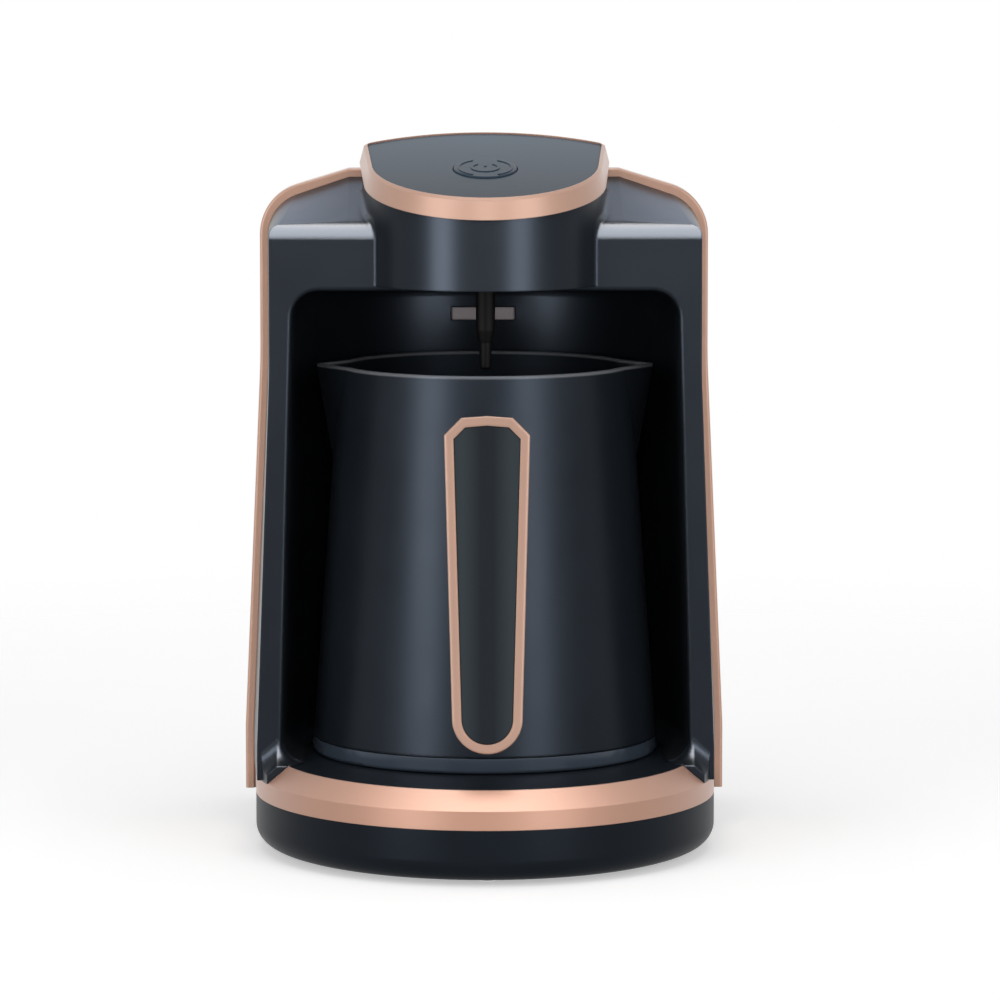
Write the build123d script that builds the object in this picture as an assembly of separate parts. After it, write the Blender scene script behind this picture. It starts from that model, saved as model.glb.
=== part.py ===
from build123d import *
import math
import os

# Electric Turkish coffee maker with a removable pot, in millimetres.
# Origin on the table, under the middle of the machine, on the axis of the pot.
# +Z up, the user stands on the -Y side.

# Base
base_half_width = 77.5
base_front_reach = 96.6
base_rear_reach = 96.6
base_bow_y = -10.0
base_rear_corner = 14.0
base_least_corner = 2.0
base_edge_round = 7.0
base_wall = 2.6
foot_height = 1.4
foot_radius = 7.0
foot_edge_round = 0.5
foot_front_inset = 44.6
foot_rear_inset = 30.6
foot_front_stand = 39.5
foot_rear_stand = 27.5
trim_low = 18.7
trim_edge = 25.0
deck_top = 31.0
deck_thickness = 2.4
trim_band = 7.0
trim_ledge = 3.0
bottom_plate_inset = 12.0
bottom_plate_thickness = 1.8
bottom_boss_radius = 3.6
bottom_boss_height = 10.2

# Arch of the housing
frame_front_y = -31.0
strip_front_y = 22.0
strip_depth = 8.0
rear_back_inset = 3.2
rear_back_y = base_rear_reach - rear_back_inset
rear_draft = 7.0
rear_round = 9.0
strip_half_top = 76.4
strip_foot_stand = 4.5
strip_half_foot = base_half_width + strip_foot_stand
strip_flare_low = 36.0
strip_flare_high = 162.0
strip_corner_z = 217.8
strip_corner_round = 17.5
strip_crown_z = 227.1
strip_crown_half = 46.0
strip_foot_z = 14.0
strip_thickness = 2.8
least_strip_round = 1.0
flare_round = 260.0
front_half_top = 72.0
front_foot_inset = 0.9
front_half_foot = base_half_width - front_foot_inset
front_corner_z = 210.9
front_corner_round = 3.0
least_front_round = 0.6
front_top_round = 7.0
front_crown_rise = 0.3
brow_lift = 0.2
roof_lift = 0.4
shell_wall = 2.4

# Bay for the pot
bay_half_low = 68.3
bay_half_high = 64.2
bay_back_centre_y = -2.0
bay_top = 189.3
bay_corner_round = 9.0
bay_cut = 20.0
mouth_round = 1.5
mouth_skim = 0.05
foot_round = 8.0
bay_roof = 1.6
roof_top = bay_top + bay_roof

# Head
head_slope = math.degrees(math.atan(0.246))
ring_front_y = -55.7
ring_front_z = 214.45
ring_nose_radius = 40.5
ring_back_half = 42.3
ring_corner_y = 9.0
ring_back_y = 21.5
ring_height = 7.0
ring_side_height = 6.2
ring_draft = 1.5
ring_bevel = 1.0
ring_lip = 0.2
ring_rear_round = 3.0
drum_tall = 60.0
drum_inset = 1.0
drum_back_inset = 3.5
drum_lift = 0.1
drum_floor_z = bay_top + mouth_round + drum_lift
drum_wall = 2.2
drum_floor_top = drum_floor_z + drum_wall
drum_blend = 2.0
panel_thickness = 2.4
panel_recess = 0.5

# Power button
button_place = 36.3
button_radius = 10.6
button_rise = 0.5
button_travel = 0.8
button_edge_round = 0.5
button_flange = 1.4
button_flange_thickness = 1.2
button_stem_radius = 1.8
switch_gap = 0.1
mark_ring_radius = 8.9
mark_sweep = 124.0
mark_stroke = 0.7
mark_height = 0.25
symbol_radius = 4.5
symbol_gap = 70.0
symbol_stroke = 0.9
symbol_bar = 4.6
symbol_bar_middle = 3.4

# Foam probe
probe_y = -30.0
sleeve_radius = 3.2
sleeve_nose_z = 176.3
sleeve_tip_z = 172.2
rod_radius = 2.0
rod_end_round = 0.8
nose_lip = 0.3
probe_clearance = 0.8
probe_hole_radius = 3.3
socket_radius = 6.4
socket_height = 9.0
holder_radius = 6.0
holder_height = 3.0
rod_stand = 3.0
lead_slot_width = 16.0
lead_slot_height = 10.0
lead_slot_z = 208.0

# Sensor window in the back wall of the bay
window_width = 22.4
window_height = 4.6
window_z = 174.4
window_stand = 0.8
window_round = 0.8
window_flange = 2.0
window_flange_thickness = 1.2
window_step = 0.4
sensor_post_x = 16.0
sensor_post_radius = 2.0
sensor_board_half = 18.0
sensor_board_rise = 9.0
sensor_board_gap = 4.8
diode_places = (-7.0, 0.0, 7.0)
diode_radius = 1.5
diode_length = 2.8

# Pot
pot_rim_z = 162.5
pot_rim_radius = 49.0
pot_foot_z = 36.6
pot_foot_radius = 58.0
pot_wall = 1.5
pot_floor = 2.0
spout_reach = 57.5
spout_half_angle = 55.0
spout_tip_round = 3.0
spout_root_z = 128.0
spout_root_sink = 0.6
spout_run = 24.0
pot_ring_radius = 58.4
pot_ring_gap = 0.25
pot_ring_round = 1.2
pot_disc_radius = 53.0

# Handle
handle_reach = 35.0
handle_top_z = 152.3
handle_low_z = 43.2
handle_half_top = 14.0
handle_half_low = 11.5
handle_chamfer = 5.6
grip_depth = 13.0
bezel_width = 3.1
bezel_stand = 0.9
bezel_depth = 2.2
insert_recess = 0.5
arm_width = 15.0
arm_height = 15.0
arm_low_gap = 9.0
arm_top_gap = 8.0
arm_round = 3.0
arm_sink = 3.0
grip_round = 3.5
grip_gap = 0.25
bezel_round = 0.7
bracket_depth = 2.4
bracket_half_width = 6.0
bracket_half_height = 5.5
head_gap = 0.6
handle_head_height = 2.8
handle_top_bow = 0.6

# Heating group
plate_radius = 48.0
plate_thickness = 3.2
gasket_width = 2.0
plate_below_pot = 0.2
element_ring_radius = 35.0
element_radius = 3.2
element_sweep = 310.0
clamp_thickness = 1.5
clamp_top = 20.0
clamp_half = 61.0
clamp_width = 15.0
clamp_boss_x = 56.0
clamp_boss_radius = 3.8
clamp_leg_x = 43.0
clamp_leg_thickness = 2.0
clamp_screw_length = 8.0
element_gap = 0.05
pin_radius = 1.3
gasket_drop = 0.4
plunger_radius = 6.0
plunger_cap = 1.6
plunger_stem_radius = 2.2
plunger_fit = 0.08
plunger_stand = 0.05
stem_below_clamp = 9.0
guide_radius = 4.2
guide_below_clamp = 6.0
guide_flange = 1.5
guide_flange_thickness = 0.8
spring_end_gap = 0.05
spring_radius = 3.6
spring_wire = 0.35
spring_turns = 5

# Electronics
board_thickness = 1.6
power_board_inset = 15.9
power_board_y = rear_back_y - power_board_inset
power_board_half = 36.0
power_board_low = 62.0
power_board_high = 132.0
board_post_radius = 3.2
board_post_sink = 1.0
board_screw_length = 6.5
board_hole_depth = 10.0
relay_x = -17.0
relay_z = 92.0
relay_width = 18.0
relay_height = 16.0
relay_depth = 11.0
transformer_x = 15.0
transformer_z = 108.0
transformer_width = 22.0
transformer_height = 20.0
transformer_depth = 11.0
transformer_round = 1.5
capacitor_x = -16.0
capacitor_z = 112.0
capacitor_radius = 5.5
capacitor_length = 11.0
terminal_half = 14.0
terminal_depth = 10.0
terminal_height = 11.0
terminal_gap = 1.0
terminal_well_radius = 2.0
terminal_well_depth = 1.5
lead_depth = 5.0
panel_lead_x = 24.0
panel_lead_gap = 3.0
panel_lead_turn = 4.0
panel_lead_drop = 42.0
sensor_lead_x = 10.0
sensor_lead_bend = 154.0
sensor_lead_turn = 146.0
lead_floor_z = 16.0
lead_behind_y = 60.0
lead_before_y = 48.0
wire_radius = 1.2

# Screws
screw_radius = 1.5
head_of_screw = 2.8
screw_head_height = 1.6
bottom_head_height = 1.2
screw_end_gap = 1.0

# Clearances
thread_gap = 0.05
fit = 0.15
soft_gap = 0.3
seam = 0.25

# Fasteners, vents and the cord inlet
plate_ledge = 6.0
bottom_screw_y = (-30.0, 60.0)
foot_peg_radius = 2.4
foot_peg_stand = 0.8
vent_length = 34.0
vent_width = 2.6
bottom_vents = 5
vent_pitch = 9.0
vent_rows = 7
vent_rise = 6.5
vent_low = 148.0
vent_cut = 12.0
vent_x = 22.0
board_screw_inset = 5.0
inlet_z = 17.5
inlet_radius = 6.0
inlet_bore = 3.6
inlet_length = 8.6
inlet_flange = 1.0
inlet_flange_thickness = 2.8
inlet_flange_gap = 0.2
deck_underside = deck_top - deck_thickness
deck_rear_y = 66.0
panel_ledge = 7.5
board_post_x = 30.6
board_middle = 3.0
button_board_height = 24.0
button_board_edge = 2.5
panel_post_radius = 2.2
stake_radius = 1.0
stake_gap = 0.1
stake_stand = 0.6
panel_gap = 0.12
board_seat = -5.0
switch_top = -1.6
switch_half = 3.0
switch_pin_radius = 1.7
switch_pin_height = 1.0
lamp_ring_radius = 8.0
lamp_radius = 1.5
lamp_height = 2.2
lamp_count = 4
pin_length = 8.0
lead_x = 7.5
lead_end_y = 36.5
thermostat_x = 18.0
thermostat_radius = 7.5
thermostat_step = 2.0
thermostat_base = 1.6
tab_y = 10.5
tab_half_length = 3.5
tab_half_width = 2.0
tab_lift = 3.0
tab_thickness = 0.8
fuse_radius = 2.0
fuse_length = 12.0
fuse_wire_radius = 0.5
fuse_wire_length = 26.0
strip_edge = 0.9
strip_pad_sink = 1.0

# Reach of a cut, and how far joined forms reach into each other
far = 300.0
sink = 1.0
tolerance = 0.01

os.makedirs("parts", exist_ok=True)


def save(shape, node):
    export_step(shape, f"parts/{node}.step")


def slab(face, low, high):
    return extrude(Pos(0, 0, low) * face, high - low)


def rod(x, y, low, high, radius):
    return Pos(x, y, (low + high) / 2) * Cylinder(radius, high - low)


def hole(x, y, radius):
    return rod(x, y, -far, far, radius)


def block(x0, x1, y0, y1, z0, z1):
    middle = Pos((x0 + x1) / 2, (y0 + y1) / 2, (z0 + z1) / 2)
    return middle * Box(x1 - x0, y1 - y0, z1 - z0)


def rod_along_y(x, z, front, back, radius):
    return Pos(x, (front + back) / 2, z) * Rot(X=90) * Cylinder(radius, back - front)


def both_sides(shape):
    return shape + mirror(shape, about=Plane.YZ)


def front_view(y):
    return Plane(origin=(0, y, 0), x_dir=(1, 0, 0), z_dir=(0, -1, 0))


# Base outline: elliptical front, straight sides, round rear corners
def base_face(inset):
    half = base_half_width - inset
    rear = base_rear_reach - inset
    corner = max(base_rear_corner - inset, base_least_corner)
    bow = base_front_reach + base_bow_y - inset
    front = EllipticalCenterArc((0, base_bow_y), half, bow, start_angle=180, arc_size=180)
    right = Line((half, base_bow_y), (half, rear - corner))
    slant = corner * math.sqrt(0.5)
    bend = rear - corner + slant
    right_corner = ThreePointArc(
        (half, rear - corner), (half - corner + slant, bend), (half - corner, rear))
    back = Line((half - corner, rear), (corner - half, rear))
    left_corner = ThreePointArc(
        (corner - half, rear), (corner - half - slant, bend), (-half, rear - corner))
    left = Line((-half, rear - corner), (-half, base_bow_y))
    return make_face([front, right, right_corner, back, left_corner, left])


# Arch outline in the front view: the strip's outer line, moved inwards by inset
def arch_face(inset, foot_z, half_foot, half_top, corner_z, crown_z, corner_round):
    points = [
        (half_foot - inset, foot_z),
        (half_foot - inset, strip_flare_low),
        (half_top - inset, strip_flare_high),
        (half_top - inset, corner_z - inset),
        (strip_crown_half, crown_z - inset),
    ]
    mirrored = [(-x, z) for x, z in reversed(points)]
    outline = make_face(Polyline(*points, *mirrored, close=True))
    flares = outline.vertices().filter_by(lambda v: abs(v.Y - strip_flare_high) < 0.01)
    outline = fillet(flares, flare_round)
    corners = outline.vertices().filter_by(lambda v: abs(v.Y - corner_z + inset) < 0.01)
    return fillet(corners, corner_round)


def strip_outline(inset, foot_z):
    size = (strip_half_foot, strip_half_top, strip_corner_z, strip_crown_z)
    return arch_face(inset, foot_z, *size, max(strip_corner_round - inset, least_strip_round))


def front_outline(inset, foot_z):
    size = (front_half_foot, front_half_top, front_corner_z, front_corner_z + front_crown_rise)
    return arch_face(inset, foot_z, *size, max(front_corner_round - inset, least_front_round))


def placed(outline, y):
    return front_view(y) * outline


# Rear cover: outer form, moved inwards by wall
def rear_form(wall, foot_z):
    front = placed(strip_outline(strip_thickness + wall, foot_z), strip_front_y + strip_depth)
    back = placed(strip_outline(rear_draft + wall, foot_z), rear_back_y - wall)
    form = loft([front, back], ruled=True)
    rim = form.faces().sort_by(Axis.Y)[-1].edges()
    upright = rim.filter_by(lambda e: e.center().Z > foot_z + sink)
    return fillet(upright, rear_round - wall)


def bay_half(z):
    share = (z - deck_top) / (bay_top - deck_top)
    return bay_half_low + (bay_half_high - bay_half_low) * share


# Back wall of the bay at one height, on the axis
def bay_back(z):
    return bay_back_centre_y + bay_half(z)


# Space of the pot bay, grown by wall and roof: open to the front, round at the back
def bay_form(wall, roof, low, front):
    top = bay_top + roof
    half_low = bay_half(low) + wall
    half_top = bay_half(top) + wall
    back = Pos(0, bay_back_centre_y, (low + top) / 2) * Cone(half_low, half_top, top - low)
    corners = [(-half_low, low), (half_low, low), (half_top, top), (-half_top, top)]
    wedge = placed(make_face(Polyline(*corners, close=True)), bay_back_centre_y)
    form = back + extrude(wedge, bay_back_centre_y - front)
    roof_edges = form.edges().group_by(Axis.Z)[-1].filter_by(lambda e: e.center().Y > front + sink)
    return fillet(roof_edges, bay_corner_round + wall)


# Front housing: outer form, moved inwards by wall
def front_form(wall, foot_z):
    low = frame_front_y + wall
    front = placed(front_outline(wall, foot_z), low)
    back = placed(strip_outline(strip_thickness + wall, foot_z), strip_front_y)
    form = loft([front, back], ruled=True)
    top = front_corner_z + brow_lift - wall
    crown = strip_crown_z - strip_thickness + roof_lift
    rise = (crown - front_corner_z) / (strip_front_y - frame_front_y)
    end = strip_front_y + sink
    side = [(low, foot_z - sink), (low, top), (end, top + rise * (end - low)), (end, foot_z - sink)]
    profile = make_face(Polyline(*side, close=True))
    brow = profile.vertices().filter_by(lambda v: abs(v.X - low) < 0.01 and v.Y > foot_z)
    profile = fillet(brow, front_top_round - wall)
    return form & extrude(Plane.YZ * profile, far, both=True)


# Head outline: round nose to the front, sides that spread, bowed back edge
def head_face(front, corner, back, inset, back_inset):
    radius = ring_nose_radius - inset
    centre = front + ring_nose_radius
    half = ring_back_half - inset
    corner = corner - back_inset
    reach = math.hypot(half, corner - centre)
    turn = math.atan2(corner - centre, half) - math.acos(radius / reach)
    side = radius * math.cos(turn)
    start = centre + radius * math.sin(turn)
    nose = ThreePointArc((-side, start), (0, centre - radius), (side, start))
    right = Line((side, start), (half, corner))
    rear = ThreePointArc((half, corner), (0, back - back_inset), (-half, corner))
    left = Line((-half, corner), (-side, start))
    outline = make_face([nose, right, rear, left])
    ends = outline.vertices().filter_by(lambda v: abs(v.Y - corner) < 0.01)
    return fillet(ends, ring_rear_round)


def drum_face(inset):
    return head_face(ring_front_y, ring_corner_y, ring_back_y, inset, inset + drum_back_inset - drum_inset)


def slope_face(inset, back_inset):
    stretch = 1 / math.cos(math.radians(head_slope))
    corner = (ring_corner_y - ring_front_y) * stretch
    back = (ring_back_y - ring_front_y) * stretch
    return head_face(0, corner, back, inset, back_inset)


# Frame of the sloping head: local y up the slope, local z square to it
def slope_frame(height):
    lean = math.radians(head_slope)
    normal = Vector(0, -math.sin(lean), math.cos(lean))
    start = Vector(0, ring_front_y, ring_front_z) + normal * height
    return Plane(origin=start, x_dir=(1, 0, 0), z_dir=normal)


def slope_slab(face, low, high):
    return extrude(slope_frame(low) * face, high - low)


def slope_rod(x, y, low, high, radius):
    return slope_frame(0) * rod(x, y, low, high, radius)


def drum_form(inset, low):
    tall = slab(drum_face(inset), low, ring_front_z + drum_tall)
    return tall - slope_frame(0) * block(-far, far, -far, far, 0, far)


def behind(y):
    return block(-far, far, y, far, -far, far)



# Base pieces
def base_shell():
    tub = slab(base_face(0), foot_height, trim_low)
    tub = fillet(tub.edges().group_by(Axis.Z)[0], base_edge_round)
    rear_wall = slab(base_face(0), trim_low, trim_edge) & behind(strip_front_y + fit)
    floor = foot_height + base_wall
    hollow = slab(base_face(base_wall), floor, trim_edge + sink)
    hollow = fillet(hollow.edges().group_by(Axis.Z)[0], base_edge_round - base_wall)
    tub = tub + rear_wall - hollow
    plate_top = foot_height + bottom_plate_thickness
    tub -= slab(base_face(bottom_plate_inset), 0, plate_top)
    tub -= slab(base_face(bottom_plate_inset + plate_ledge), 0, floor + sink)
    boss_top = plate_top + bottom_boss_height
    for x, y in bottom_screw_places():
        tub += rod(x, y, plate_top, boss_top, bottom_boss_radius)
        tub -= rod(x, y, 0, boss_top - screw_end_gap, screw_radius)
    return tub - rod_along_y(0, inlet_z, base_rear_reach - inlet_length, far, inlet_radius)


# Screws of the bottom plate, in the middle of the ledge that it rests on
def bottom_screw_places():
    inset = bottom_plate_inset + plate_ledge / 2
    places = [(0, inset - base_front_reach), (0, base_rear_reach - inset)]
    for y in bottom_screw_y:
        swing = min(y - base_bow_y, 0) / (base_front_reach + base_bow_y - inset)
        x = (base_half_width - inset) * math.sqrt(1 - swing * swing)
        places += [(-x, y), (x, y)]
    return places


def bottom_plate():
    top = foot_height + bottom_plate_thickness - thread_gap
    plate = slab(base_face(bottom_plate_inset + fit), foot_height, top)
    for x, y in bottom_screw_places():
        plate -= hole(x, y, screw_radius + fit)
    for x, y in foot_places():
        plate -= hole(x, y, foot_peg_radius + fit)
    vent = slab(SlotOverall(vent_length, vent_width), 0, far)
    for k in range(bottom_vents):
        plate -= Pos(0, (k - (bottom_vents - 1) / 2) * vent_pitch, 0) * vent
    return plate


def foot_places():
    front = base_half_width - foot_front_stand
    rear = base_half_width - foot_rear_stand
    front_y = foot_front_inset - base_front_reach
    rear_y = base_rear_reach - foot_rear_inset
    return [(-front, front_y), (front, front_y), (-rear, rear_y), (rear, rear_y)]


def feet():
    pads = Part()
    peg_top = foot_height + bottom_plate_thickness + foot_peg_stand
    for x, y in foot_places():
        pad = rod(x, y, 0, foot_height, foot_radius)
        pad = fillet(pad.edges().group_by(Axis.Z)[0], foot_edge_round)
        pads += pad + rod(x, y, foot_height, peg_top, foot_peg_radius)
    return pads


def bottom_screws():
    screws = Part()
    end = foot_height + bottom_plate_thickness + bottom_boss_height - 2 * screw_end_gap
    for x, y in bottom_screw_places():
        shaft = rod(x, y, foot_height, end, screw_radius - thread_gap)
        screws += shaft + rod(x, y, foot_height - bottom_head_height, foot_height, head_of_screw)
    return screws


def base_trim():
    ring = slab(base_face(0), trim_low, trim_edge)
    inner = base_face(trim_band)
    slope = loft([Pos(0, 0, trim_edge) * base_face(0), Pos(0, 0, deck_top) * inner], ruled=True)
    ring += slope - behind(frame_front_y)
    ring -= slab(inner, trim_low, deck_top)
    ledge = slab(inner - base_face(trim_band + trim_ledge), trim_low, deck_underside)
    return (ring + ledge) - behind(strip_front_y)


def deck():
    plate = slab(base_face(trim_band + fit), deck_underside, deck_top) - behind(deck_rear_y)
    plate -= hole(0, 0, plate_radius + gasket_width)
    for side in (-1, 1):
        plate += rod(side * clamp_boss_x, 0, clamp_top, deck_underside, clamp_boss_radius)
        plate -= rod(side * clamp_boss_x, 0, 0, deck_underside, screw_radius)
    return plate


# Housing pieces
def front_housing():
    hollow = front_form(shell_wall, trim_edge - 2 * sink) - bay_liner()
    shell = housing_outer() - hollow + foot_flare() + bay_cove()
    shell -= slab(base_face(trim_band), 0, deck_top)
    shell -= drum_form(drum_inset + drum_wall, drum_floor_top)
    back = bay_back(window_z)
    low = window_z - window_height / 2
    half = window_width / 2
    shell -= block(-half, half, back - bay_cut, back + bay_cut, low, low + window_height)
    shell += rod(0, probe_y, drum_floor_top, drum_floor_top + socket_height, socket_radius)
    shell -= rod(0, probe_y, bay_top - sink, far, probe_hole_radius)
    left = panel_lead_x - lead_slot_width / 2
    low = lead_slot_z - lead_slot_height / 2
    shell -= block(left, left + lead_slot_width, ring_corner_y, far, low, low + lead_slot_height)
    for side in (-1, 1):
        shell += rod_along_y(side * sensor_post_x, window_z, back + fit, sensor_board_y(), sensor_post_radius)
    return shell


# Wall of the bay, still solid inside
def bay_liner():
    return bay_form(shell_wall, bay_roof, deck_top, frame_front_y - bay_cut) & behind(frame_front_y + sink)


# Outer form of the housing, open at the bay, with the drum of the head blended into the shoulders
def housing_outer():
    arch = front_form(0, trim_edge) + bay_liner() - bay_mouth()
    drum = drum_form(drum_inset, drum_floor_z)
    body = arch + drum
    joint = new_edges(arch, drum, combined=body)
    joint = [edge for edge in joint if edge.center().Z > drum_floor_z + sink]
    return fillet(joint, drum_blend)


# Space of the bay with everything in front of it, so that the rim comes out round
def bay_mouth():
    face = frame_front_y + mouth_skim
    space = bay_form(0, 0, deck_top - bay_cut, face - sink)
    space += block(-far, far, face - bay_cut, face, -far, far)
    rim = []
    for edge in space.edges():
        middle = edge.center()
        inside = deck_top - bay_cut + sink < middle.Z < bay_top + sink and abs(middle.X) < base_half_width
        if inside and abs(middle.Y - face) < tolerance:
            rim.append(edge)
    return fillet(rim, mouth_round)


# Cove along the foot of the bay's wall
def bay_cove():
    space = bay_form(0, 0, deck_top, frame_front_y)
    low = space.edges().group_by(Axis.Z)[0]
    low = low.filter_by(lambda e: e.center().Y > frame_front_y + sink)
    ring = space - fillet(low, foot_round)
    return ring & block(-far, far, frame_front_y + mouth_round, far, deck_top, deck_top + foot_round)


# Flare where the front face meets the sloping trim, turned round the corners of the bay
def foot_flare():
    end = mouth_round + foot_round
    back = mouth_round / 2
    top = deck_top + foot_round
    bend = foot_round * math.sqrt(0.5)
    arc = ThreePointArc((mouth_round, top), (end - bend, top - bend), (end, deck_top))
    rest = Polyline((end, deck_top), (end, trim_edge), (back, trim_edge), (back, top), (mouth_round, top))
    start = (bay_half(deck_top) + mouth_round, frame_front_y + mouth_round, 0)
    section = Plane(origin=start, x_dir=(0, -1, 0), z_dir=(-1, 0, 0)) * make_face([arc, rest])
    turn = revolve(section, Axis(start, (0, 0, -1)), 90)
    slope = Vector(trim_band, 0, trim_edge - deck_top)
    run = extrude(section, 1.5 * slope.length, dir=slope.normalized())
    flare = (run + turn) & slab(base_face(0), trim_edge, far)
    return both_sides(flare) - base_trim()


def strip(side):
    rear = strip_front_y + strip_depth
    form = extrude(placed(strip_outline(0, strip_foot_z), rear), strip_depth)
    form = fillet(strip_rims(form), strip_edge)
    form -= extrude(placed(strip_outline(strip_thickness, strip_foot_z - sink), rear), strip_depth)
    outer = strip_half_foot - strip_pad_sink
    inner = base_half_width + fit
    pad = block(inner, outer, strip_front_y + strip_edge, rear - strip_edge, strip_foot_z, trim_edge)
    half = (form & block(seam / 2, far, -far, far, 0, far)) + pad
    return half if side > 0 else mirror(half, about=Plane.YZ)


# Edges along the outer rims of a strip, without the two across its foot
def strip_rims(form):
    rims = []
    for edge in form.edges():
        start = edge @ 0
        end = edge @ 1
        if start.Z + end.Z > 2 * strip_foot_z + sink and abs(start.Y - end.Y) < 0.1:
            rims.append(edge)
    return rims


def rear_shell():
    start = strip_front_y + strip_depth
    shell = rear_form(0, trim_edge) - rear_form(shell_wall, trim_edge - 2 * sink)
    inside = strip_outline(strip_thickness + shell_wall, trim_edge - sink)
    lip = strip_outline(strip_thickness + fit, trim_edge) - inside
    shell += extrude(placed(lip, start), strip_depth - fit)
    slot = Rot(X=90) * extrude(SlotOverall(vent_length, vent_width), vent_cut, both=True)
    for row in range(vent_rows):
        for side in (-1, 1):
            shell -= Pos(side * vent_x, rear_back_y, vent_low + row * vent_rise) * slot
    for x, z in board_screw_places():
        shell += rod_along_y(x, z, board_y(), rear_back_y - board_post_sink, board_post_radius)
        shell -= rod_along_y(x, z, power_board_y, power_board_y + board_hole_depth, screw_radius)
    return shell


# Head pieces
def panel_face(inset):
    edge = ring_draft + ring_bevel + ring_lip + inset
    return slope_face(edge, edge)


def head_trim():
    low = slope_frame(0) * slope_face(0, 0)
    middle = slope_frame(ring_side_height) * slope_face(ring_draft, ring_draft)
    edge = ring_draft + ring_bevel
    high = slope_frame(ring_height) * slope_face(edge, edge)
    ring = loft([low, middle, high], ruled=True)
    seat = ring_height - panel_recess - panel_thickness
    ring -= slope_slab(panel_face(0), seat, ring_height + sink)
    ring -= slope_slab(panel_face(panel_ledge), -sink, seat)
    place = button_place + board_middle
    for side in (-1, 1):
        x = side * board_post_x
        ring += slope_rod(x, place, board_seat, sink, panel_post_radius)
        ring += slope_rod(x, place, board_seat - board_thickness - stake_stand, board_seat, stake_radius)
    return ring


def control_panel():
    top = ring_height - panel_recess
    plate = slope_slab(panel_face(panel_gap), top - panel_thickness, top)
    return plate - slope_rod(0, button_place, -far, far, button_radius + soft_gap)


def power_button():
    top = ring_height - panel_recess + button_rise
    underside = ring_height - panel_recess - panel_thickness - soft_gap
    flange_low = underside - button_flange_thickness
    cap = slope_rod(0, button_place, flange_low, top, button_radius)
    cap = fillet(cap.edges().sort_by(Axis.Z)[-1], button_edge_round)
    cap += slope_rod(0, button_place, flange_low, underside, button_radius + button_flange)
    stem_low = switch_top + button_travel + switch_gap
    cap += slope_rod(0, button_place, stem_low, underside, button_stem_radius)
    arc = CenterArc((0, 0), mark_ring_radius, -mark_sweep / 2, mark_sweep)
    marks = [power_symbol()] + [trace(Rot(Z=turn) * arc, mark_stroke) for turn in (0, 180)]
    for mark in marks:
        cap += slope_frame(top) * (Pos(0, button_place) * extrude(mark, mark_height))
    return cap


def power_symbol():
    arc = trace(CenterArc((0, 0), symbol_radius, 90 + symbol_gap / 2, 360 - symbol_gap), symbol_stroke)
    return arc + Pos(0, symbol_bar_middle) * Rectangle(symbol_stroke, symbol_bar)


# Foam probe: wide sleeve with a nose, and a thin rod inside it
def probe_sleeve():
    top = drum_floor_top + socket_height + holder_height
    sleeve = rod(0, probe_y, sleeve_nose_z, top, sleeve_radius)
    middle = Pos(0, probe_y, (sleeve_tip_z + sleeve_nose_z) / 2)
    nose = middle * Cone(rod_radius + nose_lip, sleeve_radius, sleeve_nose_z - sleeve_tip_z)
    return sleeve + nose - hole(0, probe_y, rod_radius)


def probe_rod():
    top = drum_floor_top + socket_height + holder_height + rod_stand
    pin = rod(0, probe_y, pot_rim_z + probe_clearance, top, rod_radius)
    return fillet(pin.edges().group_by(Axis.Z)[0], rod_end_round)


def probe_holder():
    low = drum_floor_top + socket_height
    return rod(0, probe_y, low, low + holder_height, holder_radius) - hole(0, probe_y, sleeve_radius)


# Sensor behind the bay
def sensor_window():
    back = bay_back(window_z) + shell_wall
    half = window_width / 2 - fit
    low = window_z - window_height / 2 + fit
    high = window_z + window_height / 2 - fit
    step = back + window_step
    lens = block(-half, half, bay_back(window_z) - window_stand, step, low, high)
    lens = fillet(lens.edges().filter_by(Axis.Z).sort_by(Axis.Y)[:2], window_round)
    wide = half + window_flange
    end = step + window_flange_thickness
    return lens + block(-wide, wide, step, end, low - window_flange, high + window_flange)


def sensor_board_y():
    return bay_back(window_z) + shell_wall + sensor_board_gap


def sensor_board():
    front = sensor_board_y()
    low = window_z - sensor_board_rise
    high = window_z + sensor_board_rise
    board = block(-sensor_board_half, sensor_board_half, front, front + board_thickness, low, high)
    for x in diode_places:
        board += rod_along_y(x, window_z, front - diode_length, front, diode_radius)
    return board


# Pot
def pot_radius(z):
    share = (z - pot_foot_z) / (pot_rim_z - pot_foot_z)
    return pot_foot_radius + (pot_rim_radius - pot_foot_radius) * share


def pot_form(inset, low, high):
    low_radius = pot_radius(low) - inset
    high_radius = pot_radius(high) - inset
    form = Pos(0, 0, (low + high) / 2) * Cone(low_radius, high_radius, high - low)
    half_angle = math.radians(spout_half_angle)
    tip = spout_reach - inset / math.sin(half_angle)
    spread = spout_run * math.tan(half_angle)
    corners = [(tip, 0), (tip - spout_run, spread), (tip - spout_run, -spread)]
    lip = make_face(Polyline(*corners, close=True))
    lip = fillet(lip.vertices().sort_by(Axis.X)[-1], spout_tip_round - inset / 2)
    root = Vertex(pot_radius(spout_root_z) - inset - spout_root_sink, 0, spout_root_z)
    spout = loft([root, Pos(0, 0, high) * lip])
    return form + both_sides(spout)


def pot_body():
    pot = pot_form(0, pot_foot_z, pot_rim_z)
    return pot - pot_form(pot_wall, pot_foot_z + pot_floor, pot_rim_z)


def pot_base_ring():
    seat = deck_top + plate_below_pot
    ring = rod(0, 0, seat, pot_foot_z - pot_ring_gap, pot_ring_radius)
    ring = fillet(ring.edges().group_by(Axis.Z)[0], pot_ring_round)
    return ring - hole(0, 0, pot_disc_radius + fit)


def pot_base_disc():
    return rod(0, 0, deck_top + plate_below_pot, pot_foot_z, pot_disc_radius)


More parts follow.
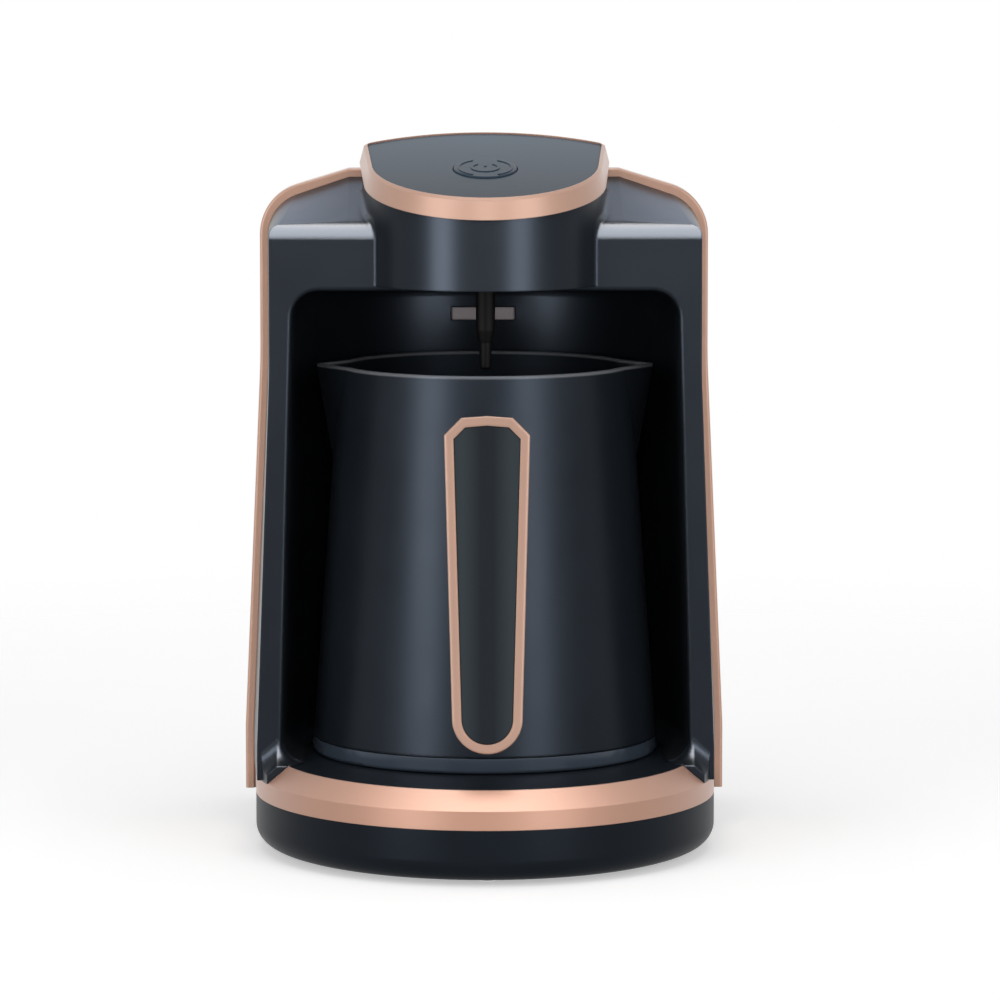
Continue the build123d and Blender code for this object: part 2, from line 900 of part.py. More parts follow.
# Handle frame: local y up along the pot wall, local z straight out from it
def handle_frame():
    lean = pot_lean()
    out = Vector(0, -math.cos(lean), math.sin(lean))
    middle = pot_middle()
    return Plane(origin=(0, -pot_radius(middle), middle), x_dir=(1, 0, 0), z_dir=out)


def pot_middle():
    return (pot_rim_z + pot_foot_z) / 2


def pot_lean():
    return math.atan2(pot_foot_radius - pot_rim_radius, pot_rim_z - pot_foot_z)


def handle_ends():
    lean = pot_lean()
    level = pot_middle() + handle_reach * math.sin(lean)
    return (handle_low_z - level) / math.cos(lean), (handle_top_z - level) / math.cos(lean)


def handle_face(inset):
    low, top = handle_ends()
    low = low + inset
    top = top - inset
    half_top = handle_half_top - inset
    half_low = handle_half_low - inset
    cut = handle_chamfer - inset * (2 - math.sqrt(2))
    shoulder = low + half_low
    crown = (0, top + handle_top_bow)
    right = [crown, (half_top - cut, top), (half_top, top - cut), (half_low, shoulder)]
    left = [(-x, y) for x, y in reversed(right)]
    round_end = ThreePointArc((half_low, shoulder), (0, low), (-half_low, shoulder))
    return make_face([Polyline(*left, *right[1:]), round_end])


def arm_places():
    low, top = handle_ends()
    return (low + arm_low_gap + arm_height / 2, top - arm_top_gap - arm_height / 2)


def handle_local(shape):
    return handle_frame() * shape


def handle_core():
    front = handle_reach - bezel_depth
    back = handle_reach - bezel_stand - grip_depth
    grip = slab(handle_face(grip_gap), back, front)
    grip = fillet(grip.edges().group_by(Axis.Z)[0], grip_round)
    half_width = arm_width / 2
    half_height = arm_height / 2
    for y in arm_places():
        arm = block(-half_width, half_width, y - half_height, y + half_height, bracket_depth, back + arm_sink)
        grip += fillet(arm.edges().filter_by(Axis.Z), arm_round)
    head_seat = front - handle_head_height - head_gap
    for y in arm_places():
        grip -= rod(0, y, 0, far, screw_radius + fit)
        grip -= rod(0, y, head_seat, far, head_of_screw + fit)
    return handle_local(grip)


def handle_trim():
    frame = slab(handle_face(0), handle_reach - bezel_depth, handle_reach)
    frame = fillet(frame.edges().group_by(Axis.Z)[-1], bezel_round)
    return handle_local(frame - slab(handle_face(bezel_width), 0, far))


def handle_insert():
    plate = slab(handle_face(bezel_width + fit), handle_reach - bezel_depth, handle_reach - insert_recess)
    return handle_local(plate)


def handle_brackets():
    tabs = Part()
    for y in arm_places():
        low = y - bracket_half_height
        high = y + bracket_half_height
        tab = block(-bracket_half_width, bracket_half_width, low, high, -bracket_depth, bracket_depth)
        tabs += tab - hole(0, y, screw_radius)
    return handle_local(tabs) - pot_form(0, pot_foot_z - sink, pot_rim_z)


def handle_screws():
    head_top = handle_reach - bezel_depth - head_gap
    head_low = head_top - handle_head_height
    screws = Part()
    for y in arm_places():
        screws += rod(0, y, screw_end_gap, head_low, screw_radius - thread_gap)
        screws += rod(0, y, head_low, head_top, head_of_screw)
    return handle_local(screws)


def cord_inlet():
    rear = base_rear_reach
    bush = rod_along_y(0, inlet_z, rear - inlet_length, rear, inlet_radius - fit)
    back = rear - base_wall - inlet_flange_gap
    bush += rod_along_y(0, inlet_z, back - inlet_flange_thickness, back, inlet_radius + inlet_flange)
    return bush - rod_along_y(0, inlet_z, 0, far, inlet_bore)


# Heating group under the deck
def heating_plate():
    plate = rod(0, 0, deck_top - plate_thickness, deck_top, plate_radius)
    return plate - hole(0, 0, plunger_radius + soft_gap)


def plate_gasket():
    ring = rod(0, 0, deck_underside, deck_top - gasket_drop, plate_radius + gasket_width)
    return ring - hole(0, 0, plate_radius)


def heating_element():
    half_gap = (360 - element_sweep) / 2
    section = Plane.XZ * (Pos(element_ring_radius, 0) * Circle(element_radius))
    coil = Rot(Z=90 + half_gap) * revolve(section, Axis.Z, element_sweep)
    pins = Part()
    for side in (-1, 1):
        angle = math.radians(90 - side * half_gap)
        away = Vector(math.cos(angle), math.sin(angle), 0)
        along = Vector(-side * away.Y, side * away.X, 0)
        end = Plane(origin=away * element_ring_radius, z_dir=along)
        pins += Solid.make_cylinder(pin_radius, pin_length, end)
    return Pos(0, 0, element_level()) * (coil + pins)


def element_level():
    return deck_top - plate_thickness - element_radius - element_gap


def plate_clamp():
    low = clamp_top - clamp_thickness
    half = clamp_width / 2
    bar = block(-clamp_half, clamp_half, -half, half, low, clamp_top)
    inner = clamp_leg_x - clamp_leg_thickness / 2
    outer = clamp_leg_x + clamp_leg_thickness / 2
    bar += both_sides(block(inner, outer, -half, half, clamp_top, deck_top - plate_thickness))
    bar -= hole(0, 0, guide_radius + fit)
    for side in (-1, 1):
        bar -= hole(side * clamp_boss_x, 0, screw_radius + fit)
    return bar


def clamp_screws():
    low = clamp_top - clamp_thickness
    screw = rod(clamp_boss_x, 0, low, low + clamp_screw_length, screw_radius - thread_gap)
    screw += rod(clamp_boss_x, 0, low - screw_head_height, low, head_of_screw)
    return both_sides(screw)


def thermostat():
    seat = clamp_top + thermostat_base
    body = rod(thermostat_x, 0, seat, deck_top - plate_thickness, thermostat_radius)
    body += rod(thermostat_x, 0, clamp_top, seat, thermostat_radius - thermostat_step)
    left = thermostat_x - tab_half_width
    right = thermostat_x + tab_half_width
    low = clamp_top + tab_lift
    for side in (-1, 1):
        near = side * tab_y - tab_half_length
        body += block(left, right, near, near + 2 * tab_half_length, low, low + tab_thickness)
    return body


def thermal_fuse():
    level = clamp_top + fuse_radius + thread_gap
    body = rod_along_y(-thermostat_x, level, -fuse_length / 2, fuse_length / 2, fuse_radius)
    half = fuse_wire_length / 2
    return body + rod_along_y(-thermostat_x, level, -half, half, fuse_wire_radius)


def sensor_plunger():
    cap_low = deck_top - plunger_cap
    cap = rod(0, 0, cap_low, deck_top + plunger_stand, plunger_radius)
    return cap + rod(0, 0, clamp_top - stem_below_clamp, cap_low + sink, plunger_stem_radius)


def plunger_guide():
    top = clamp_top + guide_flange_thickness
    tube = rod(0, 0, clamp_top - guide_below_clamp, top, guide_radius)
    tube += rod(0, 0, clamp_top, top, guide_radius + guide_flange)
    return tube - hole(0, 0, plunger_stem_radius + plunger_fit)


def plunger_spring():
    low = clamp_top + guide_flange_thickness + spring_wire + spring_end_gap
    high = deck_top - plunger_cap - spring_wire - spring_end_gap
    path = Helix((high - low) / spring_turns, high - low, spring_radius)
    section = Plane(origin=path @ 0, z_dir=path % 0) * Circle(spring_wire)
    return Pos(0, 0, low) * sweep(section, path)


# Electronics
def board_y():
    return power_board_y + board_thickness


def board_screw_places():
    x = power_board_half - board_screw_inset
    low = power_board_low + board_screw_inset
    high = power_board_high - board_screw_inset
    return [(-x, low), (x, low), (-x, high), (x, high)]


# Block on the back of the power board
def on_board(x, z, width, height, depth):
    half = width / 2
    return block(x - half, x + half, board_y(), board_y() + depth, z - height / 2, z + height / 2)


def power_board():
    half = power_board_half
    board = block(-half, half, power_board_y, board_y(), power_board_low, power_board_high)
    for x, z in board_screw_places():
        board -= rod_along_y(x, z, 0, far, screw_radius + fit)
    return board


def board_screws():
    screws = Part()
    for x, z in board_screw_places():
        end = power_board_y + board_screw_length
        screws += rod_along_y(x, z, power_board_y, end, screw_radius - thread_gap)
        screws += rod_along_y(x, z, power_board_y - screw_head_height, power_board_y, head_of_screw)
    return screws


def relay():
    return on_board(relay_x, relay_z, relay_width, relay_height, relay_depth)


def transformer():
    size = (transformer_width, transformer_height, transformer_depth)
    core = on_board(transformer_x, transformer_z, *size)
    return fillet(core.edges().filter_by(Axis.Y), transformer_round)


def capacitor():
    return rod_along_y(capacitor_x, capacitor_z, board_y(), board_y() + capacitor_length, capacitor_radius)


def terminal_block():
    middle = power_board_low + terminal_gap + terminal_height / 2
    body = on_board(0, middle, 2 * terminal_half, terminal_height, terminal_depth)
    for x in (-lead_x, 0, lead_x):
        well = board_y() + terminal_depth - terminal_well_depth
        body -= rod_along_y(x, middle, well, far, terminal_well_radius)
    return body


def button_board():
    place = button_place + board_middle
    outline = Pos(0, place) * Rectangle(2 * (board_post_x + button_board_edge), button_board_height)
    plate = slope_slab(outline, board_seat - board_thickness, board_seat)
    for side in (-1, 1):
        plate -= slope_rod(side * board_post_x, place, -far, far, stake_radius + stake_gap)
    return plate


def tact_switch():
    half = switch_half
    top = switch_top - switch_pin_height
    body = slope_frame(0) * block(-half, half, button_place - half, button_place + half, board_seat, top)
    return body + slope_rod(0, button_place, board_seat, switch_top, switch_pin_radius)


def status_leds():
    lamps = Part()
    for turn in range(lamp_count):
        angle = math.radians(360 * (turn + 0.5) / lamp_count)
        x = lamp_ring_radius * math.cos(angle)
        y = button_place + lamp_ring_radius * math.sin(angle)
        lamps += slope_rod(x, y, board_seat, board_seat + lamp_height, lamp_radius)
    return lamps


# Tube along a route of straight runs joined by tangent arcs
def lead(points, radius):
    bends = []
    for before, corner, after in zip(points, points[1:], points[2:]):
        into = Vector(*corner) - Vector(*before)
        onward = Vector(*after) - Vector(*corner)
        turn = math.radians(into.get_angle(onward))
        bends.append(0.45 * min(into.length, onward.length) / math.tan(turn / 2))
    path = FilletPolyline(*points, radius=bends)
    section = Plane(origin=path @ 0, z_dir=path % 0) * Circle(radius)
    return sweep(section, path)


def heater_leads():
    top = power_board_low + terminal_gap
    back = board_y() + lead_depth
    level = element_level()
    low = lead_floor_z
    leads = Part()
    for x in (-lead_x, lead_x):
        down = [(x, back, top), (x, back, low), (x, lead_behind_y, low)]
        leads += lead(down + [(x, lead_before_y, level), (x, lead_end_y, level)], wire_radius)
    return leads


def panel_lead():
    middle = power_board_y + board_thickness / 2
    place = button_place + board_middle + button_board_height / 2
    start = slope_frame(board_seat - board_thickness - panel_lead_gap).from_local_coords((0, place, 0))
    x = panel_lead_x
    inside = [(x, start.Y, start.Z), (x, panel_lead_turn, lead_slot_z), (x, panel_lead_drop, lead_slot_z)]
    down = [(x, middle, roof_top), (x, middle, power_board_high)]
    return lead(inside + down, wire_radius)


def sensor_lead():
    start = sensor_board_y() + board_thickness / 2
    middle = power_board_y + board_thickness / 2
    top = window_z - sensor_board_rise
    upper = [(sensor_lead_x, start, top), (sensor_lead_x, start, sensor_lead_bend)]
    lower = [(sensor_lead_x, middle, sensor_lead_turn), (sensor_lead_x, middle, power_board_high)]
    return lead(upper + lower, wire_radius)


nodes = {
    "base_shell": base_shell,
    "bottom_plate": bottom_plate,
    "feet": feet,
    "bottom_screws": bottom_screws,
    "base_trim": base_trim,
    "deck": deck,
    "front_housing": front_housing,
    "side_trim_right": lambda: strip(1),
    "side_trim_left": lambda: strip(-1),
    "rear_shell": rear_shell,
    "cord_inlet": cord_inlet,
    "head_trim": head_trim,
    "control_panel": control_panel,
    "power_button": power_button,
    "button_board": button_board,
    "tact_switch": tact_switch,
    "status_leds": status_leds,
    "probe_sleeve": probe_sleeve,
    "probe_rod": probe_rod,
    "probe_holder": probe_holder,
    "sensor_window": sensor_window,
    "sensor_board": sensor_board,
    "heating_plate": heating_plate,
    "plate_gasket": plate_gasket,
    "heating_element": heating_element,
    "plate_clamp": plate_clamp,
    "clamp_screws": clamp_screws,
    "thermostat": thermostat,
    "thermal_fuse": thermal_fuse,
    "sensor_plunger": sensor_plunger,
    "plunger_guide": plunger_guide,
    "plunger_spring": plunger_spring,
    "power_board": power_board,
    "board_screws": board_screws,
    "relay": relay,
    "transformer": transformer,
    "capacitor": capacitor,
    "terminal_block": terminal_block,
    "heater_leads": heater_leads,
    "panel_lead": panel_lead,
    "sensor_lead": sensor_lead,
    "pot_body": pot_body,
    "pot_base_ring": pot_base_ring,
    "pot_base_disc": pot_base_disc,
    "handle_core": handle_core,
    "handle_trim": handle_trim,
    "handle_insert": handle_insert,
    "handle_brackets": handle_brackets,
    "handle_screws": handle_screws,
}

for node, make in nodes.items():
    save(make(), node)
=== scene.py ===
import math

import bmesh
import bpy
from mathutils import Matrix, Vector


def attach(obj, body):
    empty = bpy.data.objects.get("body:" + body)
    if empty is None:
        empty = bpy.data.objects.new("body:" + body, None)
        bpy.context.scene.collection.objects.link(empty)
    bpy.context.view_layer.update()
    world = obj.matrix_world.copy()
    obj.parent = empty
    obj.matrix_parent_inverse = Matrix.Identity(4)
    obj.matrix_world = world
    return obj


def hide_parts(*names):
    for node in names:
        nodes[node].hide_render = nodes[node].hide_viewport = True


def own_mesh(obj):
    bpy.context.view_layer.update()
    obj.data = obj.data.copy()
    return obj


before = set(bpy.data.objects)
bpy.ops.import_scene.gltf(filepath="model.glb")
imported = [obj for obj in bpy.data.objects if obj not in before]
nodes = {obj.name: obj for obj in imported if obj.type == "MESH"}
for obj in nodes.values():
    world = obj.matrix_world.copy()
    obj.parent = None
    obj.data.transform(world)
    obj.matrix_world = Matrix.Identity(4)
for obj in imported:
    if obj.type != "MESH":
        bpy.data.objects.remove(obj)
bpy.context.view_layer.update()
scene = bpy.context.scene

# Scale of the broad unevenness in every finish, and the rays that soften an edge
BROAD_SCALE = 34.0
EDGE_RAYS = 4

# A Wave node multiplies distances by this much of its own accord
WAVE_FACTOR = 20.0

# The surroundings: their light on the object, and the white that seen rays meet
DIM = 0.42
WHITE_LEVEL = 1.0
WHITE = (1.0, 1.0, 1.0)

# Floor: its grey, its own glow for seen rays, its size, and where it fades out, in metres
FLOOR_GREY = (0.80, 0.80, 0.80)
FLOOR_GLOW = 0.42
FLOOR_RADIUS = 3.0
FLOOR_SIDES = 96
FADE_START = 0.25
FADE_END = 0.8

# Camera, fitted to the photograph: metres, millimetres and degrees
CAMERA_PLACE = (-0.0181, -2.020, 0.3426)
LENS = 216.0
SENSOR_WIDTH = 36.0
LOOK_DOWN = 6.4
LOOK_RIGHT = 0.66


# Node helpers
def feed(tree, socket, value):
    if isinstance(value, bpy.types.NodeSocket):
        tree.links.new(value, socket)
    elif value is not None:
        socket.default_value = value


def tree_of(name):
    material = bpy.data.materials.new(name)
    material.use_nodes = True
    tree = material.node_tree
    shader = tree.nodes["Principled BSDF"]
    return material, tree, shader


def add(tree, kind, settings=None, inputs=None):
    node = tree.nodes.new(kind)
    for key, value in (settings or {}).items():
        setattr(node, key, value)
    for key, value in (inputs or {}).items():
        feed(tree, node.inputs[key], value)
    return node


def rgba(color, k=1.0):
    return (color[0] * k, color[1] * k, color[2] * k, 1.0)


def noise(tree, where, scale, detail=2.0, rough=0.5):
    size = {"Vector": where, "Scale": scale, "Detail": detail, "Roughness": rough}
    return add(tree, "ShaderNodeTexNoise", None, size).outputs["Fac"]


def spread(tree, value, low, high, start=0.3, end=0.7):
    limits = {"Value": value, "From Min": start, "From Max": end, "To Min": low, "To Max": high}
    return add(tree, "ShaderNodeMapRange", None, limits).outputs["Result"]


# On a Mix node that is set to colours, inputs 6 and 7 and output 2 are the colours
def blend_colors(tree, factor, first, second):
    mix = add(tree, "ShaderNodeMix", {"data_type": "RGBA"})
    for socket, value in ((0, factor), (6, first), (7, second)):
        feed(tree, mix.inputs[socket], value)
    return mix.outputs[2]


def math_node(tree, operation, first, second=None):
    node = add(tree, "ShaderNodeMath", {"operation": operation})
    for socket, value in enumerate((first, second)):
        feed(tree, node.inputs[socket], value)
    return node.outputs[0]


# A moulded, coated or metal finish: fine grain, broad change of gloss and shade, and softened edges
def finish(name, color, rough, metallic=0.0, specular=0.5, coat=0.0, coat_rough=0.1, coat_ior=1.5,
           grain=1800.0, bump=0.08, depth=0.00004, gloss=0.04, shade=0.08, edge=0.0003, tint=WHITE):
    material, tree, shader = tree_of(name)
    where = add(tree, "ShaderNodeTexCoord").outputs["Object"]
    broad = noise(tree, where, BROAD_SCALE, 3.0, 0.6)
    fine = noise(tree, where, grain, 2.0, 0.55)
    tone = blend_colors(tree, spread(tree, broad, 0.0, 1.0), rgba(color, 1 - shade), rgba(color, 1 + shade))
    tree.links.new(tone, shader.inputs["Base Color"])
    speck = math_node(tree, "MULTIPLY", math_node(tree, "SUBTRACT", fine, 0.5), gloss)
    level = math_node(tree, "ADD", spread(tree, broad, rough - gloss / 2, rough + gloss / 2), speck)
    tree.links.new(level, shader.inputs["Roughness"])
    soft = add(tree, "ShaderNodeBevel", {"samples": EDGE_RAYS}, {"Radius": edge}).outputs["Normal"]
    shape = {"Strength": bump, "Distance": depth, "Height": fine, "Normal": soft}
    relief = add(tree, "ShaderNodeBump", None, shape)
    tree.links.new(relief.outputs["Normal"], shader.inputs["Normal"])
    shader.inputs["Metallic"].default_value = metallic
    shader.inputs["Specular IOR Level"].default_value = specular
    shader.inputs["Coat Weight"].default_value = coat
    shader.inputs["Coat Roughness"].default_value = coat_rough
    shader.inputs["Coat IOR"].default_value = coat_ior
    shader.inputs["Specular Tint"].default_value = rgba(tint)
    return material


# Colours that several pieces share, and the cool tint of the black plastic's gloss
BLACK = (0.0085, 0.0110, 0.0145)
GOLD = (0.42, 0.228, 0.152)
COOL = (0.66, 0.79, 1.0)

body_black = finish("body_black", BLACK, 0.29, specular=0.15, grain=2600, bump=0.10, gloss=0.02, shade=0.05,
                    edge=0.0007, tint=COOL)
rear_black = finish("rear_black", BLACK, 0.38, specular=0.24, grain=2200, bump=0.14, edge=0.0005, tint=COOL)
base_black = finish("base_black", BLACK, 0.36, specular=0.06, grain=2600, bump=0.10, edge=0.0005, tint=COOL)
deck_black = finish("deck_black", BLACK, 0.38, specular=0.20, grain=2600, bump=0.12, edge=0.0004, tint=COOL)
rose_gold = finish("rose_gold", GOLD, 0.40, metallic=0.5, coat=1.0, coat_rough=0.36, coat_ior=1.65,
                   grain=5200, bump=0.08, gloss=0.05, shade=0.04, edge=0.0004)
trim_gold = finish("trim_gold", (0.37, 0.178, 0.108), 0.46, metallic=0.5, coat=1.0, coat_rough=0.42,
                   coat_ior=1.6, grain=5200, bump=0.08, gloss=0.05, shade=0.04, edge=0.0004)
bezel_gold = finish("bezel_gold", GOLD, 0.34, metallic=0.5, coat=1.0, coat_rough=0.26, coat_ior=1.8,
                    grain=5200, bump=0.06, gloss=0.04, shade=0.04, edge=0.0013)
slate = finish("slate", (0.016, 0.029, 0.046), 0.20, specular=0.09, grain=3600, bump=0.04, gloss=0.03,
               shade=0.03, edge=0.0003, tint=COOL)
pot_black = finish("pot_black", BLACK, 0.36, specular=0.125, grain=3200, bump=0.10, gloss=0.05, edge=0.0010,
                   tint=COOL)
ring_grey = finish("ring_grey", (0.042, 0.055, 0.075), 0.16, specular=0.36, coat=0.2, grain=1800, bump=0.03,
                   gloss=0.02, shade=0.05, edge=0.0004, tint=COOL)
grip_black = finish("grip_black", BLACK, 0.34, specular=0.21, grain=2600, bump=0.09, edge=0.0005, tint=COOL)
grip_inlay = finish("grip_inlay", (0.0115, 0.0135, 0.0155), 0.16, specular=0.22, grain=2600, bump=0.02,
                    gloss=0.02, shade=0.04, edge=0.0003, tint=COOL)
# The sensor window's pale colour is painted light: it is lifted to look lit where it sits in the head's
# shadow
window_painted_light = finish("window_painted_light", (0.78, 0.68, 0.70), 0.18, specular=0.5, grain=1500, bump=0.03, edge=0.0006)
plate_metal = finish("plate_metal", (0.55, 0.56, 0.57), 0.30, metallic=1.0, grain=2400, bump=0.12, gloss=0.08)
steel = finish("steel", (0.50, 0.50, 0.51), 0.26, metallic=1.0, grain=4200, bump=0.08, gloss=0.06)
# The feeler's rod and sleeve are painted near black: painted shade for the shadow under the head
feeler_painted_shade = finish("feeler_painted_shade", (0.004, 0.0035, 0.0035), 0.42, specular=0.10, grain=4200, bump=0.06)
silicone = finish("silicone", (0.030, 0.030, 0.032), 0.60, specular=0.3, grain=1500, bump=0.12)
rubber = finish("rubber", (0.018, 0.018, 0.019), 0.72, specular=0.3, grain=1300, bump=0.22)
board_green = finish("board_green", (0.020, 0.105, 0.055), 0.30, specular=0.5, grain=900, bump=0.08)
part_black = finish("part_black", (0.016, 0.016, 0.017), 0.45, specular=0.4, grain=2000, bump=0.12)
part_pale = finish("part_pale", (0.55, 0.54, 0.50), 0.48, specular=0.4, grain=1800, bump=0.10)
wire_grey = finish("wire_grey", (0.10, 0.10, 0.105), 0.45, specular=0.4, grain=1600, bump=0.08)


# A mask from 0 to 1 between two places along an axis, in metres
def along(material, axis, low, high, mirrored=False):
    tree = material.node_tree
    where = add(tree, "ShaderNodeTexCoord").outputs["Object"]
    place = add(tree, "ShaderNodeSeparateXYZ", None, {"Vector": where}).outputs[axis]
    if mirrored:
        place = math_node(tree, "ABSOLUTE", place)
    return spread(tree, place, 0.0, 1.0, low, high)


# Paints a lighter colour into a material where the mask is on: a painted highlight
def paint_highlight(material, mask, color):
    tree = material.node_tree
    socket = tree.nodes["Principled BSDF"].inputs["Base Color"]
    tone = blend_colors(tree, mask, socket.links[0].from_socket, rgba(color))
    tree.links.new(tone, socket)


# Painted highlights: the rim's rolled edge, the sides of the inlay and the far end of the panel are painted
# lighter where they would catch more light
paint_highlight(pot_black, along(pot_black, "Z", 0.1613, 0.1618), (0.14, 0.145, 0.155))
paint_highlight(grip_inlay, along(grip_inlay, "X", 0.0020, 0.0080, True), (0.032, 0.040, 0.042))
paint_highlight(slate, along(slate, "Y", -0.050, 0.020), (0.072, 0.106, 0.146))


# Metal turned on a lathe, with fine rings round the upright axis
def turned(name, color, rough, pitch):
    material = finish(name, color, rough, metallic=1.0, grain=3200, bump=0.06, gloss=0.06)
    tree = material.node_tree
    normal = tree.nodes["Principled BSDF"].inputs["Normal"]
    where = add(tree, "ShaderNodeTexCoord").outputs["Object"]
    kind = {"wave_type": "RINGS", "rings_direction": "Z", "wave_profile": "SAW"}
    wave = {"Vector": where, "Scale": 1.0 / pitch / WAVE_FACTOR, "Distortion": 0.6, "Detail": 2.0}
    rings = add(tree, "ShaderNodeTexWave", kind, wave).outputs["Fac"]
    old = normal.links[0].from_socket
    shape = {"Strength": 0.22, "Distance": 0.00004, "Height": rings, "Normal": old}
    tree.links.new(add(tree, "ShaderNodeBump", None, shape).outputs["Normal"], normal)
    return material


plate_turned = turned("plate_turned", (0.55, 0.56, 0.57), 0.28, 0.0006)
disc_turned = turned("disc_turned", (0.42, 0.43, 0.45), 0.32, 0.0008)

finishes = {
    body_black: ["front_housing"],
    rear_black: ["rear_shell", "bottom_plate"],
    base_black: ["base_shell"],
    deck_black: ["deck"],
    rose_gold: ["side_trim_right", "side_trim_left", "head_trim"],
    trim_gold: ["base_trim"],
    bezel_gold: ["handle_trim"],
    slate: ["control_panel", "power_button"],
    pot_black: ["pot_body", "handle_brackets"],
    ring_grey: ["pot_base_ring"],
    grip_black: ["handle_core"],
    grip_inlay: ["handle_insert"],
    window_painted_light: ["sensor_window"],
    plate_turned: ["heating_plate"],
    disc_turned: ["pot_base_disc"],
    plate_metal: ["heating_element", "plate_clamp"],
    steel: ["bottom_screws", "clamp_screws", "board_screws", "handle_screws", "sensor_plunger",
            "plunger_spring"],
    feeler_painted_shade: ["probe_rod", "probe_sleeve"],
    silicone: ["plate_gasket", "cord_inlet"],
    rubber: ["feet"],
    board_green: ["power_board", "button_board", "sensor_board"],
    part_black: ["tact_switch", "probe_holder", "thermostat", "relay", "capacitor"],
    part_pale: ["status_leds", "thermal_fuse", "plunger_guide", "transformer", "terminal_block"],
    wire_grey: ["heater_leads", "panel_lead", "sensor_lead"],
}
for material, names in finishes.items():
    for name in names:
        for slot in nodes[name].material_slots:
            slot.material = material


# The spring under the feeler: a copy of its mesh that rides the machine body
def make_spring():
    solid = nodes["plunger_spring"]
    coil = bpy.data.objects.new("feeler_spring", solid.data.copy())
    scene.collection.objects.link(coil)
    coil.matrix_world = solid.matrix_world
    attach(coil, "machine")
    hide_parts("plunger_spring")
    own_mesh(coil)


# The rays that show the surroundings: from the camera, off a gloss or through something clear
def seen_rays(tree):
    path = add(tree, "ShaderNodeLightPath")
    first = math_node(tree, "MAXIMUM", path.outputs["Is Camera Ray"], path.outputs["Is Glossy Ray"])
    return math_node(tree, "MAXIMUM", first, path.outputs["Is Transmission Ray"])


# The floor's material is clear far out and from below, so that the underside can be looked at
def floor_white():
    material = bpy.data.materials.new("floor_white")
    material.use_nodes = True
    tree = material.node_tree
    tree.nodes.remove(tree.nodes["Principled BSDF"])
    strength = math_node(tree, "MULTIPLY", seen_rays(tree), FLOOR_GLOW)
    diffuse = add(tree, "ShaderNodeBsdfDiffuse", None, {"Color": rgba(FLOOR_GREY)})
    glow = add(tree, "ShaderNodeEmission", None, {"Color": rgba(WHITE), "Strength": strength})
    lit = add(tree, "ShaderNodeAddShader", None, {0: diffuse.outputs[0], 1: glow.outputs[0]})
    where = add(tree, "ShaderNodeTexCoord").outputs["Object"]
    away = add(tree, "ShaderNodeVectorMath", {"operation": "LENGTH"}, {0: where}).outputs["Value"]
    limits = {"Value": away, "From Min": FADE_START, "From Max": FADE_END, "To Min": 0.0, "To Max": 1.0}
    fade = add(tree, "ShaderNodeMapRange", {"interpolation_type": "SMOOTHSTEP"}, limits).outputs["Result"]
    below = add(tree, "ShaderNodeNewGeometry").outputs["Backfacing"]
    gone = math_node(tree, "MAXIMUM", fade, below)
    clear = add(tree, "ShaderNodeBsdfTransparent")
    mix = add(tree, "ShaderNodeMixShader", None, {0: gone, 1: lit.outputs[0], 2: clear.outputs[0]})
    tree.links.new(mix.outputs[0], tree.nodes["Material Output"].inputs["Surface"])
    return material


# Floor: pale, takes the shadow, and fades into the white surroundings
def make_floor():
    mesh = bpy.data.meshes.new("floor")
    build = bmesh.new()
    bmesh.ops.create_circle(build, cap_ends=True, segments=FLOOR_SIDES, radius=FLOOR_RADIUS)
    build.to_mesh(mesh)
    build.free()
    floor = bpy.data.objects.new("floor", mesh)
    scene.collection.objects.link(floor)
    mesh.materials.append(floor_white())


def make_world():
    world = bpy.data.worlds.new("studio")
    scene.world = world
    world.use_nodes = True
    tree = world.node_tree
    background = tree.nodes["Background"]
    strength = spread(tree, seen_rays(tree), DIM, WHITE_LEVEL, 0.0, 1.0)
    background.inputs["Color"].default_value = rgba(WHITE)
    tree.links.new(strength, background.inputs["Strength"])


# A flat lamp that faces its target. Its energy gives the face the stated radiance
def softbox(name, place, target, width, height, radiance, color=WHITE):
    lamp = bpy.data.lights.new(name, "AREA")
    lamp.shape = "RECTANGLE"
    lamp.size = width
    lamp.size_y = height
    lamp.energy = math.pi * width * height * radiance
    lamp.color = color
    holder = bpy.data.objects.new(name, lamp)
    scene.collection.objects.link(holder)
    holder.location = place
    aim = Vector(target) - Vector(place)
    holder.rotation_euler = aim.to_track_quat("-Z", "Y").to_euler()
    return holder


# A softbox that only the named pieces mirror, for their gloss. It adds nothing to their plain colour
def sheen(name, place, target, width, height, radiance, names, color=WHITE):
    holder = softbox(name, place, target, width, height, radiance, color)
    holder.visible_diffuse = False
    pieces = bpy.data.collections.new(name)
    for piece in names:
        pieces.objects.link(nodes[piece])
    holder.light_linking.receiver_collection = pieces


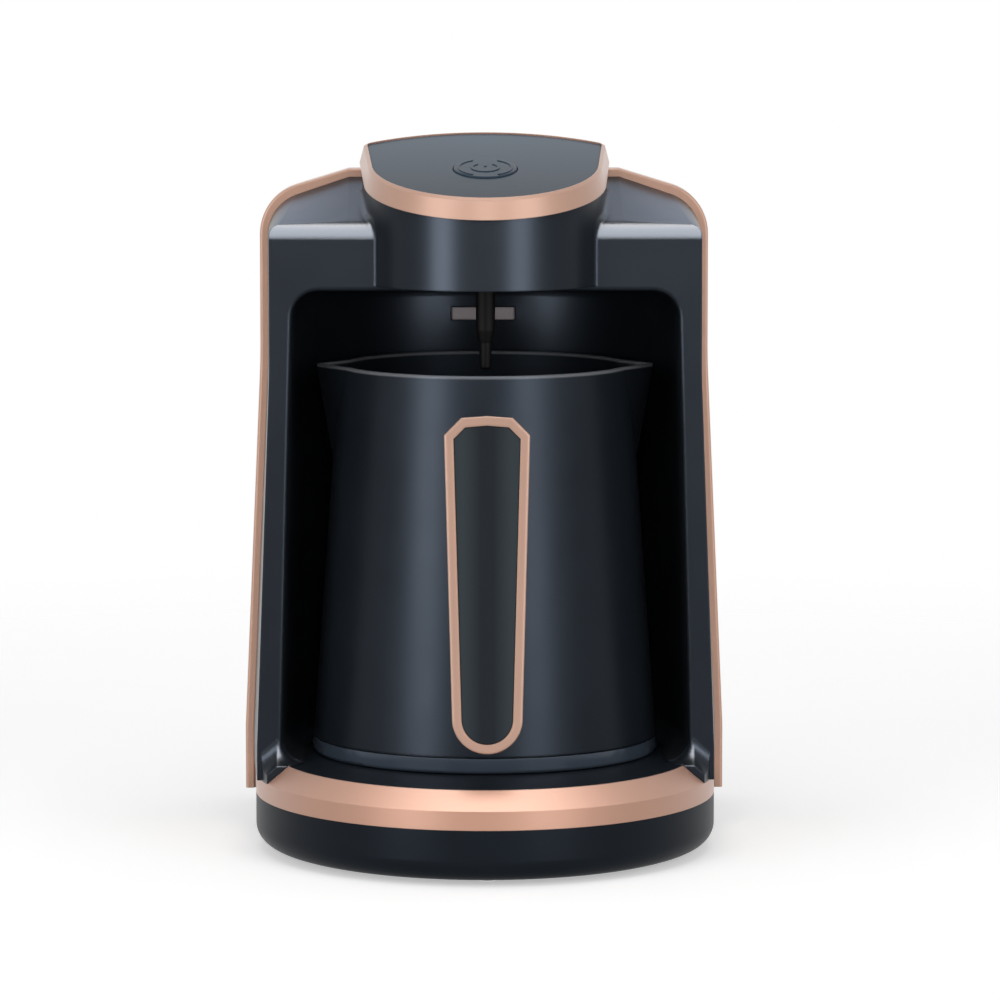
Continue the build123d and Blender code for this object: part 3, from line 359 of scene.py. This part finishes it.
def make_lamps():
    middle = (0.0, -0.02, 0.13)
    softbox("left_box", (-1.07, -1.19, 0.50), middle, 1.00, 1.1, 2.4)
    softbox("right_box", (1.00, -1.26, 0.50), middle, 0.90, 1.1, 2.4)
    softbox("top_box", (0.0, -0.10, 1.60), (0.0, -0.03, 0.2), 1.30, 1.40, 1.1)
    blacks = ["front_housing", "pot_body", "base_shell", "handle_core", "handle_insert", "rear_shell"]
    upright = (0.0, -0.02, 0.25)
    sheen("left_sheen", (-0.88, -0.98, 0.25), upright, 0.45, 0.90, 16.0, blacks)
    sheen("right_sheen", (0.72, -1.12, 0.25), upright, 0.45, 0.90, 12.5, blacks)
    housing = ["front_housing"]
    warm = (1.0, 0.90, 0.80)
    blue = (0.05, 0.30, 0.80)
    sheen("shoulder_sheen", (0.0, -0.50, 1.08), (0.0, 0.0, 0.2), 1.30, 1.75, 50.0, housing, warm)
    sheen("slope_sheen", (0.0, 0.95, 0.86), (0.0, 0.0, 0.22), 1.4, 0.9, 0.45, housing, blue)
    sheen("rim_sheen", (0.0, -1.25, 1.20), (0.0, -0.03, 0.16), 1.30, 0.5, 50.0, ["pot_body"])
    sheen("ring_sheen", (0.0, -1.30, 0.05), (0.0, -0.03, 0.20), 0.50, 0.8, 2.0, ["head_trim"])
    band = ["base_trim"]
    low = (0.0, -0.02, 0.10)
    sheen("trim_left_sheen", (-0.80, -1.04, 0.10), low, 0.32, 0.90, 7.5, band)
    sheen("trim_right_sheen", (0.62, -1.16, 0.10), low, 0.32, 0.90, 7.5, band)
    sheen("trim_top_sheen", (0.0, -0.45, 1.10), (0.0, -0.08, 0.03), 1.80, 1.0, 4.5, band)


def make_camera():
    data = bpy.data.cameras.new("camera")
    data.sensor_width = SENSOR_WIDTH
    data.lens = LENS
    camera = bpy.data.objects.new("camera", data)
    scene.collection.objects.link(camera)
    camera.location = CAMERA_PLACE
    camera.rotation_euler = (math.radians(90 - LOOK_DOWN), 0.0, math.radians(-LOOK_RIGHT))
    scene.camera = camera


make_spring()
make_floor()
make_world()
make_lamps()
make_camera()

scene.view_settings.view_transform = "Standard"
